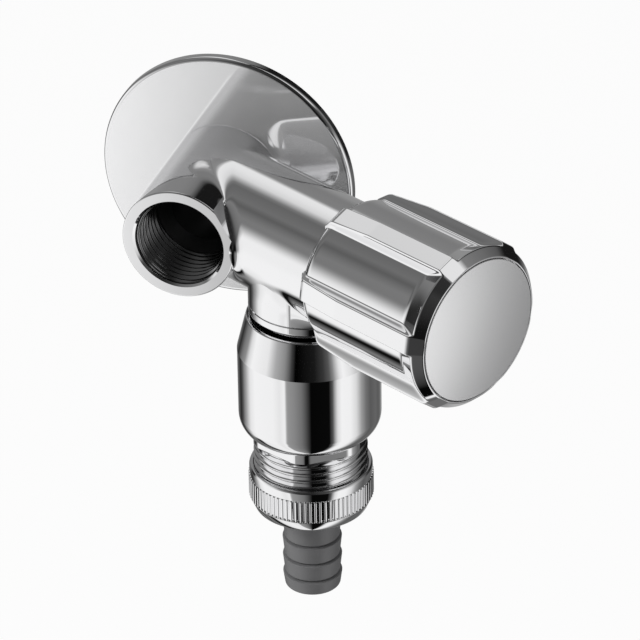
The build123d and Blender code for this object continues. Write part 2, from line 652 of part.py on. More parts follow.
# Hose barb: flange in the nut, stem and three holding shoulders.
with BuildPart() as hose_barb:
    flange_top = NIPPLE_END - HOSE_WASHER_T
    barb_outline = [(0, flange_top), (FLANGE_R, flange_top), (FLANGE_R, flange_top - FLANGE_T)]
    barb_outline += [(BARB_STEM_R, flange_top - FLANGE_T), (BARB_STEM_R, NUT_BOTTOM - BARB_STEP)]
    barb_outline += [(BARB_R, NUT_BOTTOM - 2 * BARB_STEP)]
    for shoulder in BARB_SHOULDERS:
        barb_outline.append((BARB_LOW_R, shoulder + BARB_STEP))
        barb_outline.append((BARB_R, shoulder))
    barb_outline += [(BARB_LOW_R, BARB_END + 2 * BARB_STEP), (BARB_TIP_R, BARB_END), (0, BARB_END)]
    spun_outlet(barb_outline)
    rod(level(BARB_END), BARB_BORE_R, flange_top - BARB_END, Mode.SUBTRACT)
save(hose_barb, "hose_barb")
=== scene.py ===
import json
import math
import bpy
import numpy as np
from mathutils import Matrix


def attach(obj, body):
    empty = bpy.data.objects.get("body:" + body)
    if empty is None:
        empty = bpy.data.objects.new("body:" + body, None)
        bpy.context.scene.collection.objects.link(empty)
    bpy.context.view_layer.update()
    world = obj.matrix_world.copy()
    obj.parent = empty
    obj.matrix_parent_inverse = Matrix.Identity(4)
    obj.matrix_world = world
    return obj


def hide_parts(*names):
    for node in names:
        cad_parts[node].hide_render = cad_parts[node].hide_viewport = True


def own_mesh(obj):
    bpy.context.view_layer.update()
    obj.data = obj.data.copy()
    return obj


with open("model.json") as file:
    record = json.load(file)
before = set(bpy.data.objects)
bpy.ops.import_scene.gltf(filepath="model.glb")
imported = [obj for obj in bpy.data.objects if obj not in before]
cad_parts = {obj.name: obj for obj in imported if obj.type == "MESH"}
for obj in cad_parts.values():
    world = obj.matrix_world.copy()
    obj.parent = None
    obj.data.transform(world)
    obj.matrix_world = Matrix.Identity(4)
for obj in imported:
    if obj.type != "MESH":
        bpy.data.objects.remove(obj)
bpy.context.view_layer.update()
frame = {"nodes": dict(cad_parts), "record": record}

# The studio: a pale floor well below the valve, and a ring of soft boxes and cards all round it.
# Polished metal shows them as its white, grey and black bands. Plain surfaces get even white light.
# The camera is a long lens, above the valve and to its right.
scene = bpy.context.scene
scene.view_settings.view_transform = "Standard"


class Shade:
    """A value in a node tree. Arithmetic on it adds Math nodes, in either order."""

    def __init__(self, tree, socket):
        self.tree = tree
        self.socket = socket

    def math(self, operation, first, second):
        return node(self.tree, "ShaderNodeMath", {"operation": operation}, {0: first, 1: second})

    def __add__(self, other):
        return self.math("ADD", self, other)

    def __radd__(self, other):
        return self.math("ADD", other, self)

    def __sub__(self, other):
        return self.math("SUBTRACT", self, other)

    def __rsub__(self, other):
        return self.math("SUBTRACT", other, self)

    def __mul__(self, other):
        return self.math("MULTIPLY", self, other)

    def __rmul__(self, other):
        return self.math("MULTIPLY", other, self)


def node(tree, kind, settings, values, output=0):
    """Adds one node: its settings first, then a value or a link for each named socket."""
    made = tree.nodes.new(kind)
    for name, setting in settings.items():
        if name == "stops":
            ramp = made.color_ramp
            while len(ramp.elements) < len(setting):
                ramp.elements.new(0.5)
            for element, (place, colour) in zip(ramp.elements, setting):
                element.position = place
                element.color = colour
        else:
            setattr(made, name, setting)
    for name, value in values.items():
        if isinstance(value, Shade):
            tree.links.new(value.socket, made.inputs[name])
        else:
            made.inputs[name].default_value = value
    return Shade(tree, made.outputs[output] if made.outputs else None)


def fresh_tree(owner):
    """The owner's node tree, emptied."""
    owner.use_nodes = True
    owner.node_tree.nodes.clear()
    return owner.node_tree


CAMERA_HEADING = 18.943
UNDER_LEFT = [
    (-180, 0.3),
    (-161, 0.05),
    (-150, 0.24),
    (-140, 0.06),
    (-128, 0.22),
    (-114, 0.005),
    (-105, 0.005),
    (-96, 0.9),
]
LOW_RING = [
    (-180, 0.32),
    (-171, 0.25),
    (-158, 0.1),
    (-145, 0.02),
    (-136, 0.09),
    (-123, 0.4),
    (-111, 0.87),
    (-99, 1),
    (-62, 0.98),
    (-50, 0.88),
    (-41, 0.97),
    (-38.4, 0.42),
    (-36, 0.32),
    (-26, 0.27),
    (-14, 0.18),
    (-4, 0.05),
    (1, 0.002),
    (31, 0.003),
    (37, 0.1),
    (45, 0.8),
    (52, 1),
    (68, 0.98),
    (80, 0.78),
    (91, 0.36),
    (102, 0.18),
    (114, 0.11),
    (131, 0.14),
    (143, 0.11),
    (155, 0.17),
    (167, 0.45),
    (180, 0.32),
]
UNDER_RING = UNDER_LEFT + [stop for stop in LOW_RING if stop[0] > -90]
MIDDLE_RING = [
    (-180, 0.29),
    (-165, 0.29),
    (-150, 0.26),
    (-139, 0.2),
    (-130, 0.03),
    (-118, 0.02),
    (-108, 0.75),
    (-98, 1),
    (-69, 0.9),
    (-60, 0.62),
    (-54, 0.45),
    (-39, 0.28),
    (-28, 0.05),
    (-22, 0),
    (8, 0.01),
    (21, 0.04),
    (30, 0.1),
    (36, 0.27),
    (46, 0.85),
    (52, 1),
    (65, 0.85),
    (90, 0.3),
    (115, 0.05),
    (130, 0.01),
    (156, 0.01),
    (165, 0.2),
    (173, 0.3),
    (180, 0.29),
]
HIGH_RING = [
    (-180, 0.23),
    (-165, 0.24),
    (-150, 0.22),
    (-137, 0.2),
    (-125, 0.14),
    (-114, 0.155),
    (-105, 0.17),
    (-98, 0.115),
    (-90, 0.21),
    (-60, 0.15),
    (-30, 0.05),
    (0, 0.02),
    (60, 0.1),
    (80, 0.2),
    (109, 0.16),
    (125, 0.1),
    (131, 0.01),
    (156, 0.01),
    (166, 0.18),
    (172, 0.21),
    (180, 0.23),
]
TOP_RING = [
    (-180, 0.21),
    (-174, 0.28),
    (-169, 0.88),
    (-160, 0.85),
    (-148, 0.74),
    (-140, 0.45),
    (-132, 0.2),
    (-125, 0.14),
    (-114, 0.155),
    (-105, 0.17),
    (-98, 0.115),
    (-90, 0.21),
    (-60, 0.15),
    (-30, 0.05),
    (0, 0.02),
    (38, 0.03),
    (48, 0.8),
    (58, 0.87),
    (72, 0.78),
    (80, 0.22),
    (109, 0.16),
    (125, 0.1),
    (131, 0.01),
    (156, 0.01),
    (166, 0.18),
    (172, 0.21),
    (180, 0.21),
]
world = bpy.data.worlds.new("tent")
scene.world = world
tent = fresh_tree(world)
way = node(tent, "ShaderNodeTexCoord", {}, {}, "Generated")
turned_way = node(
    tent,
    "ShaderNodeVectorRotate",
    {"rotation_type": "Z_AXIS"},
    {"Vector": way, "Angle": math.radians(90.0 - CAMERA_HEADING)},
)
ahead, beside, height = [
    node(tent, "ShaderNodeSeparateXYZ", {}, {"Vector": turned_way}, place) for place in range(3)
]
bearing = ahead.math("ARCTAN2", beside, ahead) * (0.5 / math.pi) + 0.5


def ring(stops):
    """The brightness of one ring of cards, by bearing from the camera's heading."""
    ramp = [((angle + 180.0) / 360.0, (tone, tone, tone, 1.0)) for angle, tone in stops]
    return node(tent, "ShaderNodeValToRGB", {"stops": ramp}, {"Fac": bearing})


def between(low, high):
    """Rises from 0 to 1 as the line of sight climbs from one angle above the floor to another."""
    ends = [math.sin(math.radians(v)) for v in (low, high)]
    values = {"Value": height, "From Min": ends[0], "From Max": ends[1]}
    return node(tent, "ShaderNodeMapRange", {"interpolation_type": "SMOOTHSTEP"}, values)


def crossed(share, first, second):
    """One colour fading into another."""
    return node(tent, "ShaderNodeMix", {"data_type": "RGBA"}, {"Factor": share, 6: first, 7: second}, 2)


# where one ring fades into the next, in degrees above the horizon
UNDER_TO_LOW, LOW_TO_MIDDLE = (-47.5, -42), (-24, -10)
MIDDLE_TO_HIGH, HIGH_TO_TOP = (-1, 20), (33, 40)
EVEN_LIGHT = 0.62
overhead = crossed(between(*HIGH_TO_TOP), ring(HIGH_RING), ring(TOP_RING))
upper = crossed(between(*MIDDLE_TO_HIGH), ring(MIDDLE_RING), overhead)
lower = crossed(between(*UNDER_TO_LOW), ring(UNDER_RING), ring(LOW_RING))
cards = crossed(between(*LOW_TO_MIDDLE), lower, upper)
seen = node(tent, "ShaderNodeLightPath", {}, {}, "Is Camera Ray")
mirrored = node(tent, "ShaderNodeLightPath", {}, {}, "Is Glossy Ray")
even_strength = EVEN_LIGHT + (1 - EVEN_LIGHT) * seen
even = node(tent, "ShaderNodeBackground", {}, {"Color": (1, 1, 1, 1), "Strength": even_strength})
banded = node(tent, "ShaderNodeBackground", {}, {"Color": cards, "Strength": 1.0})
sky = node(tent, "ShaderNodeMixShader", {}, {0: mirrored, 1: even, 2: banded})
node(tent, "ShaderNodeOutputWorld", {}, {"Surface": sky})

FLOOR_Z, FLOOR_HALF, FLOOR_GLOW = -0.42, 4.0, 0.92
floor_corners = np.array([(-1, -1, 0), (1, -1, 0), (1, 1, 0), (-1, 1, 0)]) * FLOOR_HALF + (0, 0, FLOOR_Z)
floor_mesh = bpy.data.meshes.new("floor")
floor_mesh.from_pydata(floor_corners.tolist(), [], [(0, 1, 2, 3)])
floor = bpy.data.objects.new("floor", floor_mesh)
scene.collection.objects.link(floor)
floor_paint = bpy.data.materials.new("floor_paint")
tree = fresh_tree(floor_paint)
straight = node(tree, "ShaderNodeLightPath", {}, {}, "Is Camera Ray")
matt = node(tree, "ShaderNodeBsdfDiffuse", {}, {"Color": (0.9, 0.9, 0.9, 1)})
pale = node(tree, "ShaderNodeEmission", {}, {"Color": (1, 1, 1, 1), "Strength": 1.0})
lit = node(tree, "ShaderNodeMixShader", {}, {0: FLOOR_GLOW * straight, 1: matt, 2: pale})
node(tree, "ShaderNodeOutputMaterial", {}, {"Surface": lit})
floor_mesh.materials.append(floor_paint)
floor.visible_glossy = False

CAMERA_PLACE = np.array([0.345139, -0.943237, 0.553865])
CAMERA_TURN = (59.387276, 0.77249, 18.486081)
CAMERA_LENS = 278.495
lens = bpy.data.cameras.new("long_lens")
lens.lens = CAMERA_LENS
lens.sensor_width = 36.0
lens.clip_end = 20.0
camera = bpy.data.objects.new("long_lens", lens)
camera.location = CAMERA_PLACE
camera.rotation_euler = [math.radians(v) for v in CAMERA_TURN]
scene.collection.objects.link(camera)
scene.camera = camera


def disk_lamp(name, size, watts, place, turn):
    """A round lamp that lights plain surfaces, and that the metal doesn't mirror."""
    light = bpy.data.lights.new(name, "AREA")
    light.shape = "DISK"
    light.size = size
    light.energy = watts
    lamp = bpy.data.objects.new(name, light)
    lamp.location = place
    lamp.rotation_euler = [math.radians(v) for v in turn]
    lamp.visible_glossy = False
    scene.collection.objects.link(lamp)


disk_lamp("key", 0.6, 5.0, (-0.5, -0.7, 0.8), (48, 0, -36))
disk_lamp("side", 0.06, 0.16, (-0.13, -0.1, 0.05), (72, 0, -56))

# Wall rosette: a thin pressed sheet, polished and plated, with a rolled edge that meets the wall.
# It is held between the wall and the shoulder of the valve body. Its rim is polished brighter than
# its face, so it mirrors the dark cards as a thin line.
INLET = (np.zeros(3), np.array([0.0, -1.0, 0.0]), np.array([1.0, 0.0, 0.0]))
RIM_STARTS = 29.55
LEAST_ROUND, SIDE_SHARE = 0.03, 0.45
ROSETTE_OUTLINE = [
    (10.8, 2.4, 0.0),
    (30.5, 2.4, 1.0),
    (30.5, 0.0, 0.1),
    (29.7, 0.0, 0.1),
    (29.7, 1.6, 0.4),
    (10.8, 1.6, 0.1),
]


def rounded(corners, closed=True, steps=6):
    """Corners (radius, distance, rounding) become points and outward normals: each corner is
    replaced by an arc that is tangent to both its sides, so normals run on without a break. An arc
    takes no more than a share of the shorter side."""
    xy = np.array([c[:2] for c in corners], float)
    count = len(xy)
    area = np.sum(xy[:, 0] * np.roll(xy[:, 1], -1) - np.roll(xy[:, 0], -1) * xy[:, 1])
    turn = 1.0 if area > 0 else -1.0
    points, normals = [], []
    for i in range(count):
        before, here, after = xy[i - 1], xy[i], xy[(i + 1) % count]
        a = (here - before) / max(np.hypot(*(here - before)), 1e-9)
        b = (after - here) / max(np.hypot(*(after - here)), 1e-9)
        na, nb = turn * np.array([a[1], -a[0]]), turn * np.array([b[1], -b[0]])
        if not closed and i in (0, count - 1):
            points.append(here)
            normals.append(nb if i == 0 else na)
            continue
        cross = a[0] * b[1] - a[1] * b[0]
        angle = math.atan2(cross, float(a @ b))
        room = SIDE_SHARE * min(np.hypot(*(here - before)), np.hypot(*(after - here)))
        reach = min(max(corners[i][2], LEAST_ROUND) * abs(math.tan(angle / 2)), room)
        radius = reach / max(abs(math.tan(angle / 2)), 1e-9)
        sign = 1.0 if cross * turn > 0 else -1.0
        centre = here - a * reach - na * radius * sign
        for w in angle * np.linspace(0, 1, steps):
            n = na * math.cos(w) + np.array([-na[1], na[0]]) * math.sin(w)
            points.append(centre + n * radius * sign)
            normals.append(n)
    return np.array(points), np.array(normals)


def placed(axis, radius, angle, along):
    """Points at a radius and angle about an axis, in metres. Angle 0 is the axis's side direction."""
    origin, direction, side = axis
    other = np.cross(direction, side)
    ring = np.cos(angle)[..., None] * side + np.sin(angle)[..., None] * other
    return (origin + along[..., None] * direction + radius[..., None] * ring) / 1000.0


def make_piece(name, points, faces, paint, normals=None):
    """A mesh object at the origin from whole arrays, with its own normals where they are given."""
    mesh = bpy.data.meshes.new(name)
    mesh.from_pydata(points.reshape(-1, 3).tolist(), [], faces.tolist())
    mesh.polygons.foreach_set("use_smooth", np.ones(len(mesh.polygons), bool))
    mesh.update()
    if normals is not None:
        mesh.normals_split_custom_set_from_vertices(normals.reshape(-1, 3).tolist())
    piece = bpy.data.objects.new(name, mesh)
    scene.collection.objects.link(piece)
    mesh.materials.append(paint)
    return piece


def grid_faces(rows, columns, closed_rows):
    """Quads of a grid whose columns go once round, and whose rows close up too if asked."""
    last = rows if closed_rows else rows - 1
    r, c = np.meshgrid(np.arange(last), np.arange(columns), indexing="ij")
    r2, c2 = (r + 1) % rows, (c + 1) % columns
    quads = np.stack([r * columns + c, r2 * columns + c, r2 * columns + c2, r * columns + c2], -1)
    return quads.reshape(-1, 4)


def wound(points, faces, normals):
    """The faces, turned over as one where they point against the given normals."""
    p, n = points.reshape(-1, 3), normals.reshape(-1, 3)
    face_normal = np.cross(p[faces[:, 1]] - p[faces[:, 0]], p[faces[:, 2]] - p[faces[:, 0]])
    agree = np.sum(face_normal * n[faces[:, 0]])
    return faces if agree > 0 else faces[:, ::-1]


def directions(axis, outward, angle, along):
    """Directions about an axis: a share outward at an angle, and a share along the axis."""
    return placed((np.zeros(3), axis[1], axis[2]), outward, angle, along) * 1000.0


def turned(name, axis, corners, paint, around):
    """A turned piece: the rounded outline, closed, carried once round the axis. The radius and the
    distance along come from the outline, and the normals from its tangent arcs."""
    outline, lean = rounded(corners)
    angle = np.arange(around) * (2 * math.pi / around)
    shape = (len(outline), around)
    r = np.broadcast_to(outline[:, :1], shape)
    z = np.broadcast_to(outline[:, 1:], shape)
    a = np.broadcast_to(angle, shape)
    points = placed(axis, r, a, z)
    normals = directions(axis, np.broadcast_to(lean[:, :1], shape), a, np.broadcast_to(lean[:, 1:], shape))
    faces = grid_faces(len(outline), around, True)
    return make_piece(name, points, wound(points, faces, normals), paint, normals)


def plated(name, polish, tone, wave, bright=1.0, hue=(1.0, 1.0, 1.008)):
    """Plated metal: a faint long wave left by the polishing wheel, fine hazing in the roughness.
    A thin milky coat, where bright is under 1, takes away from how clear a mirror it is."""
    paint = bpy.data.materials.new(name)
    tree = fresh_tree(paint)
    spot = node(tree, "ShaderNodeTexCoord", {}, {}, "Object")
    ripple = node(tree, "ShaderNodeTexNoise", {}, {"Vector": spot, "Scale": 90.0, "Detail": 2.0}, "Fac")
    haze = node(tree, "ShaderNodeTexNoise", {}, {"Vector": spot, "Scale": 700.0, "Detail": 4.0}, "Fac")
    bump = {"Strength": wave, "Distance": 0.0002, "Height": ripple}
    relief = node(tree, "ShaderNodeBump", {}, bump, "Normal")
    values = {
        "Base Color": (*[tone * share for share in hue], 1),
        "Metallic": bright,
        "Roughness": polish + 0.03 * haze,
        "Normal": relief,
    }
    skin = node(tree, "ShaderNodeBsdfPrincipled", {}, values)
    node(tree, "ShaderNodeOutputMaterial", {}, {"Surface": skin})
    return paint


def face_centres(mesh):
    """The middle of each face, in millimetres."""
    middle = np.empty(len(mesh.polygons) * 3)
    mesh.polygons.foreach_get("center", middle)
    return middle.reshape(-1, 3) * 1000.0


chrome = plated("plated_bright", 0.02, 0.88, 0.02)
sheet = plated("plated_sheet", 0.04, 0.86, 0.03, 0.75)
rosette = turned("rosette_skin", INLET, ROSETTE_OUTLINE, sheet, 240)
rosette.data.materials.append(chrome)
centre = face_centres(rosette.data)
on_rim = np.hypot(centre[:, 0], centre[:, 2]) > RIM_STARTS
rosette.data.polygons.foreach_set("material_index", on_rim.astype(np.int32))
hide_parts("wall_rosette")
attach(rosette, "body")

# Valve body: one brass forging, turned where it meets other parts, then polished and plated.
# A main tube square to the wall, a side branch for the headwork, and a neck for the outlet.
TURN = math.radians(27.0)
ALONG = np.array([math.cos(TURN), -math.sin(TURN), 0.0])
UP = np.array([0.0, 0.0, 1.0])
OUTLET_ALONG = 31.5
BRANCH = (np.array([0.0, -13.1, 0.0]), ALONG, UP)
OUTLET = (BRANCH[0] + OUTLET_ALONG * ALONG, UP, np.array([1.0, 0.0, 0.0]))
TUBE_R, BRANCH_R, NECK_R = 13.4, 14.5, 13.7
TUBE_OUTLINE = [
    (0.0, -13.0, 0.0),
    (9.3, -13.0, 0.6),
    (9.3, 2.4, 0.05),
    (TUBE_R, 2.4, 0.25),
    (TUBE_R, 35.6, 0.35),
    (0.0, 35.6, 0.0),
]
BRANCH_OUTLINE = [
    (0.0, 0.0, 0.0),
    (13.2, 0.0, 0.2),
    (BRANCH_R, 10.0, 8.0),
    (BRANCH_R, 53.0, 0.3),
    (0.0, 53.0, 0.0),
]
NECK_OUTLINE = [
    (0.0, 1.0, 0.0),
    (NECK_R, 1.0, 0.2),
    (NECK_R, -13.6, 0.05),
    (13.45, -13.8, 0.05),
    (NECK_R, -14.0, 0.05),
    (NECK_R, -16.0, 0.6),
    (12.4, -16.0, 0.1),
    (12.4, -21.6, 0.1),
    (11.5, -21.6, 0.1),
    (11.5, -29.0, 0.2),
    (0.0, -29.0, 0.0),
]
PORT_OUTLINE = [
    (0.0, -14.0, 0.0),
    (7.5, -14.0, 0.1),
    (7.5, 18.62, 0.3),
    (10.48, 21.6, 0.3),
    (10.48, 35.1, 0.05),
    (11.4, 36.02, 0.05),
    (0.0, 36.02, 0.0),
]
CHAMBER_OUTLINE = [
    (0.0, 0.0, 0.0),
    (5.5, 0.0, 0.1),
    (5.5, 16.0, 0.2),
    (7.0, 16.0, 0.1),
    (8.0, 18.0, 0.1),
    (10.4, 18.0, 0.3),
    (10.4, 54.0, 0.1),
    (0.0, 54.0, 0.0),
]
DROP_OUTLINE = [(0.0, 0.0, 0.0), (6.5, 0.0, 0.1), (6.5, -30.0, 0.1), (0.0, -30.0, 0.0)]
FLAT_SIDE, FLAT_AT, FLAT_FROM = math.radians(30.0), 12.6, -27.6
BRANCH_BACK = -2.38
# where the painted shade inside the bores starts, a little inside the port's mouth
PAINTED_SHADE_FROM = -34.9
BLANK_STEP = 1.2


def divided(outline, limit):
    """The outline with its long runs cut into equal steps no longer than the limit."""
    count = np.maximum(1, np.ceil(np.hypot(*np.diff(outline, axis=0).T) / limit)).astype(int)
    steps = [i + np.arange(c) / c for i, c in enumerate(count)]
    key = np.concatenate(steps + [[len(outline) - 1.0]])
    index = np.arange(len(outline))
    return np.stack([np.interp(key, index, outline[:, 0]), np.interp(key, index, outline[:, 1])], 1)


def vertices_of(mesh):
    """The places of a mesh's points, in metres."""
    co = np.empty(len(mesh.vertices) * 3)
    mesh.vertices.foreach_get("co", co)
    return co.reshape(-1, 3)


def signed_volume(mesh):
    """The volume inside a mesh, from its triangles: negative where the faces point inwards."""
    mesh.calc_loop_triangles()
    tri = np.empty(len(mesh.loop_triangles) * 3, np.int32)
    mesh.loop_triangles.foreach_get("vertices", tri)
    t = vertices_of(mesh)[tri.reshape(-1, 3)]
    return float(np.sum(np.cross(t[:, 0], t[:, 1]) * t[:, 2]) / 6.0)


def loose_solid(name, points, faces):
    """A closed mesh object without paint, with its faces turned outward."""
    mesh = bpy.data.meshes.new(name)
    mesh.from_pydata(points.tolist(), [], faces)
    if signed_volume(mesh) < 0:
        mesh.flip_normals()
    solid = bpy.data.objects.new(name, mesh)
    scene.collection.objects.link(solid)
    return solid


def block(name, corner, sides):
    """A box from one corner and its three sides, in millimetres."""
    unit = np.array([[i, j, k] for i in (0, 1) for j in (0, 1) for k in (0, 1)], float)
    quads = [(0, 1, 3, 2), (4, 6, 7, 5), (0, 4, 5, 1), (2, 3, 7, 6), (0, 2, 6, 4), (1, 5, 7, 3)]
    return loose_solid(name, (corner + unit @ np.array(sides)) / 1000, quads)


def solid_of(axis, corners, around, limit=100.0):
    """A closed turned solid with its poles as single points, for cutting and joining: the open
    outline, cut into steps, carried once round the axis, and a fan of triangles at each end."""
    outline, lean = rounded(corners, False, 5)
    angle = np.arange(around) * (2 * math.pi / around)
    inner = divided(outline[1:-1], limit)
    shape = (len(inner), around)
    r = np.broadcast_to(inner[:, :1], shape)
    z = np.broadcast_to(inner[:, 1:], shape)
    side = placed(axis, r, np.broadcast_to(angle, shape), z)
    poles = placed(axis, np.zeros(2), np.zeros(2), outline[[0, -1], 1])
    points = np.concatenate([side.reshape(-1, 3), poles])
    quads = grid_faces(len(inner), around, False)
    column = np.arange(around)
    following = (column + 1) % around
    start, end = len(points) - 2, len(points) - 1
    base = (len(inner) - 1) * around
    start_fan = np.stack([np.full(around, start), column, following], 1)
    end_fan = np.stack([np.full(around, end), base + following, base + column], 1)
    faces = quads.tolist() + start_fan.tolist() + end_fan.tolist()
    return loose_solid("blank", points, faces), (axis, outline, lean)


def worked(blank, tool, operation):
    """The blank after one cut or join with the tool, which is used up."""
    step = blank.modifiers.new("step", "BOOLEAN")
    step.operation = operation
    step.solver = "EXACT"
    step.object = tool
    depsgraph = bpy.context.evaluated_depsgraph_get()
    mesh = bpy.data.meshes.new_from_object(blank.evaluated_get(depsgraph))
    blank.modifiers.clear()
    blank.data = mesh
    bpy.data.objects.remove(tool)
    return blank


def outline_fit(points, surface):
    """For each point, its distance from a turned surface and that surface's normal there: the
    nearest place on the outline is found in (radius, distance along), segment by segment."""
    (origin, direction, _), outline, lean = surface
    rel = points - origin
    z = rel @ direction
    out = rel - z[:, None] * direction
    r = np.linalg.norm(out, axis=1)
    q = np.stack([r, z], 1)
    a, b = outline[:-1], outline[1:]
    d = b - a
    length = np.maximum((d * d).sum(1), 1e-12)
    k = np.clip(((q[:, None] - a) * d).sum(2) / length, 0, 1)
    gap = np.linalg.norm(q[:, None] - (a + k[..., None] * d), axis=2)
    best = gap.argmin(1)
    row = np.arange(len(q))
    share = k[row, best][:, None]
    n = lean[:-1][best] * (1 - share) + lean[1:][best] * share
    spoke = out / np.maximum(r, 1e-9)[:, None]
    normal = n[:, :1] * spoke + n[:, 1:] * direction
    return gap[row, best], normal / np.maximum(np.linalg.norm(normal, axis=1), 1e-9)[:, None]


# the two box tools reach well past what they cut
body, tube_surface = solid_of(INLET, TUBE_OUTLINE, 192, BLANK_STEP)
across = np.array([math.cos(FLAT_SIDE), 0.0, math.sin(FLAT_SIDE)])
upward = np.array([-math.sin(FLAT_SIDE), 0.0, math.cos(FLAT_SIDE)])
deep = np.array([0.0, 1.0, 0.0])
flat_corner = FLAT_AT * across - 20.0 * upward + FLAT_FROM * deep
flat_tool = block("flat_tool", flat_corner, (10.0 * across, 40.0 * upward, -12.0 * deep))
body = worked(body, flat_tool, "DIFFERENCE")
branch_blank, branch_surface = solid_of(BRANCH, BRANCH_OUTLINE, 192, BLANK_STEP)
behind_tool = block("behind_tool", np.array([-40.0, BRANCH_BACK, -40.0]), np.diag([80.0, 40.0, 80.0]))
branch_blank = worked(branch_blank, behind_tool, "DIFFERENCE")
body = worked(body, branch_blank, "UNION")
neck_blank, neck_surface = solid_of(OUTLET, NECK_OUTLINE, 192, BLANK_STEP)
body = worked(body, neck_blank, "UNION")
cuts = [
    solid_of(INLET, PORT_OUTLINE, 160),
    solid_of(BRANCH, CHAMBER_OUTLINE, 128),
    solid_of(OUTLET, DROP_OUTLINE, 96),
]
for tool, _ in cuts:
    body = worked(body, tool, "DIFFERENCE")
surfaces = [(tube_surface, 1), (branch_surface, 1), (neck_surface, 1)] + [(s, -1) for _, s in cuts]
mesh = body.data
corner_of = np.empty(len(mesh.loops), np.int32)
mesh.loops.foreach_get("vertex_index", corner_of)
sizes = np.empty(len(mesh.polygons), np.int32)
mesh.polygons.foreach_get("loop_total", sizes)
face_of = np.repeat(np.arange(len(sizes)), sizes)
co = vertices_of(mesh) * 1000.0
face_normal = np.empty(len(mesh.polygons) * 3)
mesh.polygons.foreach_get("normal", face_normal)
face_normal = face_normal.reshape(-1, 3)
# each face belongs to the surface that it lies on and leans with, and takes that surface's normals
LEAN_WEIGHT, FIT_LIMIT = 0.4, 0.25
cost, leaning = [], []
for surface, sign in surfaces:
    gap, lean = outline_fit(co, surface)
    lean = lean * sign
    bad = np.bincount(face_of, gap[corner_of], len(sizes)) / sizes
    away = 1 - np.sum(lean[corner_of] * face_normal[face_of], 1)
    cost.append(bad + LEAN_WEIGHT * np.bincount(face_of, away, len(sizes)) / sizes)
    leaning.append(lean)
owner = np.argmin(cost, 0)
fitted = np.min(cost, 0) < FIT_LIMIT


def beside_bar(points, axis, radius):
    """For each point, its gap from a round bar, the bar's normal there, and its place along the bar."""
    rel = points - axis[0]
    along = rel @ axis[1]
    out = rel - along[:, None] * axis[1]
    r = np.maximum(np.linalg.norm(out, axis=1), 1e-9)
    return np.abs(r - radius), out / r[:, None], along


def half_share(gap, reach):
    """Half where the gap is nothing, falling evenly to nothing at the reach."""
    return np.clip(0.5 - 0.5 * gap / reach, 0, 0.5)


# forged fillets: near a joint each skin leans half way to the other bar's normal
FILLET, NECK_FILLET, ROOT_FADE, NECK_FADE = 3.0, 2.5, 5.0, 6.0
TAPER_END, TAPER_REACH = 12.0, 2.0
near_tube, tube_lean, _ = beside_bar(co, INLET, TUBE_R)
near_branch, branch_lean, branch_at = beside_bar(co, BRANCH, BRANCH_R)
near_neck, neck_lean, neck_at = beside_bar(co, OUTLET, NECK_R)
root = np.clip(branch_at / ROOT_FADE, 0, 1)
to_branch = (half_share(near_branch, FILLET) * root)[:, None]
to_tube = (half_share(near_tube, FILLET) * root)[:, None]
to_neck = (half_share(near_neck, NECK_FILLET) * np.clip(-neck_at / NECK_FADE, 0, 1))[:, None]
from_neck = half_share(near_branch, NECK_FILLET)[:, None]
tapered = (branch_at < TAPER_END) & (near_branch < TAPER_REACH)
leaning[1] = np.where(tapered[:, None], branch_lean, leaning[1])
leaning[0] = leaning[0] * (1 - to_branch) + branch_lean * to_branch
leaning[1] = leaning[1] * (1 - to_tube - to_neck) + tube_lean * to_tube + neck_lean * to_neck
leaning[2] = leaning[2] * (1 - from_neck) + branch_lean * from_neck
loop_normal = np.array(leaning)[owner[face_of], corner_of]
loop_normal = loop_normal / np.maximum(np.linalg.norm(loop_normal, axis=1), 1e-9)[:, None]
SQUARE_TO_WALL = 0.9995
curved = fitted & (np.abs(face_normal[:, 1]) < SQUARE_TO_WALL)
loop_normal = np.where(curved[face_of][:, None], loop_normal, face_normal[face_of])
mesh.polygons.foreach_set("use_smooth", np.ones(len(sizes), bool))
mesh.normals_split_custom_set(loop_normal.tolist())
body.name = "body_skin"
mesh.materials.clear()
mesh.materials.append(chrome)
# painted shade: the faces of the bores past the port's mouth take a dark, rough grey metal that stands in
# for the shade deep inside them
mesh.materials.append(plated("bore_painted_shade", 0.35, 0.1, 0.05))
FIRST_CUT = 3
inside = (owner >= FIRST_CUT) & (face_centres(mesh)[:, 1] > PAINTED_SHADE_FROM)
mesh.polygons.foreach_set("material_index", inside.astype(np.int32))
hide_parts("valve_body")
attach(body, "body")

# Pipe threads: cut ridges of half inch pipe size inside the front port and on the inlet stub.
# They are separate skins over plain walls, with the crests a little flattened.
PITCH, RUN_OUT, STEEPNESS, ROWS_PER_PITCH = 1.814, 0.6, 0.75, 16


def threaded(name, axis, low, high, root, crest, wall, around, paint):
    """A thread: the radius swings between root and crest as a flattened wave in (distance - angle's
    share of a pitch), fading out at both ends, and the skin closes through a plain wall behind."""
    rows = int((high - low) / PITCH * ROWS_PER_PITCH)
    along = np.linspace(low, high, rows)[:, None]
    angle = (np.arange(around) * (2 * math.pi / around))[None, :]
    phase = along / PITCH - angle / (2 * math.pi)
    wave = np.clip(0.5 + STEEPNESS * (np.abs(2 * (phase - np.floor(phase)) - 1) * 2 - 1), 0, 1)
    fade = np.clip(np.minimum(along - low, high - along) / (RUN_OUT * PITCH), 0, 1)
    r = root + (crest - root) * wave * fade
    shape = (rows + 2, around)
    radius = np.concatenate([r, np.full((2, around), wall)])
    place = np.broadcast_to(np.concatenate([along, [[high], [low]]]), shape)
    turn = np.broadcast_to(angle, shape)
    points = placed(axis, radius, turn, place)
    facing = directions(axis, np.ones(shape), turn, np.zeros(shape)) * (1.0 if root > wall else -1.0)
    facing[rows:] *= -1
    faces = grid_faces(rows + 2, around, True)
    return make_piece(name, points, wound(points, faces, facing), paint)
